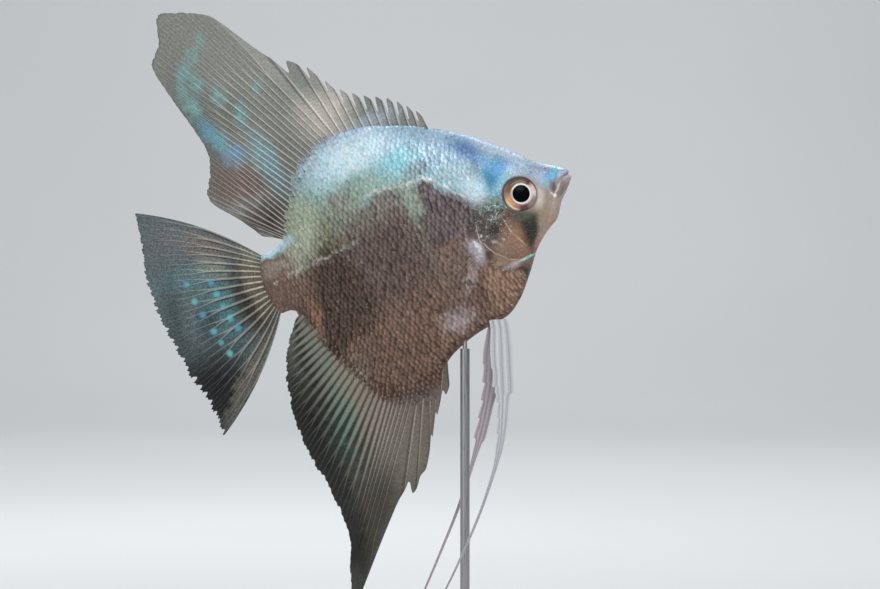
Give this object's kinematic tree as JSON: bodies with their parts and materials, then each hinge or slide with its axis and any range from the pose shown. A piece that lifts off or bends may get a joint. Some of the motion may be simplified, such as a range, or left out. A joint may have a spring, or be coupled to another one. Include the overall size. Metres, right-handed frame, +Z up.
{
  "type": "freshwater angelfish model",
  "caption": "Life-size still model of a freshwater angelfish swimming nose-up, with tall swept fins and trailing pelvic filaments, on a flat base with one slim rod.",
  "frame": {"origin": "middle of the whole model's box, at the level the stand's base rests on", "axes": "+Z up, +X towards the fish's head, +Y towards its left flank; the fish's long axis leans 20 degrees nose-up"},
  "size_m": [0.1102, 0.056, 0.1744],
  "materials": {
    "skin_flank": "wet scaled skin, mauve grey-brown with a pale blue-green back",
    "skin_head": "wet smooth skin, pale lavender blue with teal patches",
    "skin_jaw": "thin pale pinkish skin over the jaws",
    "gill_plate": "smooth bronze-brown skin with silver flecks",
    "eye_gloss": "black pupil in a cream and pink-brown iris under a clear wet cornea",
    "fin_membrane": "thin translucent web over pale rays, with turquoise flecks",
    "fin_clear": "thin silvery translucent web over pale rays",
    "stand_wood": "dark oiled hardwood",
    "stand_steel": "satin steel rod"
  },
  "bodies": {
    "root": {"head": "skin_head", "jaw_upper": "skin_jaw", "jaw_lower": "skin_jaw", "gill_cover_left": "gill_plate", "gill_cover_right": "gill_plate", "eye_left": "eye_gloss", "eye_right": "eye_gloss", "trunk": "skin_flank", "tail_stalk": "skin_flank", "dorsal_fin": "fin_membrane", "anal_fin": "fin_membrane", "caudal_fin": "fin_membrane", "pectoral_fin_left": "fin_clear", "pectoral_fin_right": "fin_clear", "pelvic_fin_left": "fin_clear", "pelvic_fin_right": "fin_clear", "stand_base": "stand_wood", "stand_rod": "stand_steel"}
  },
  "joints": []
}
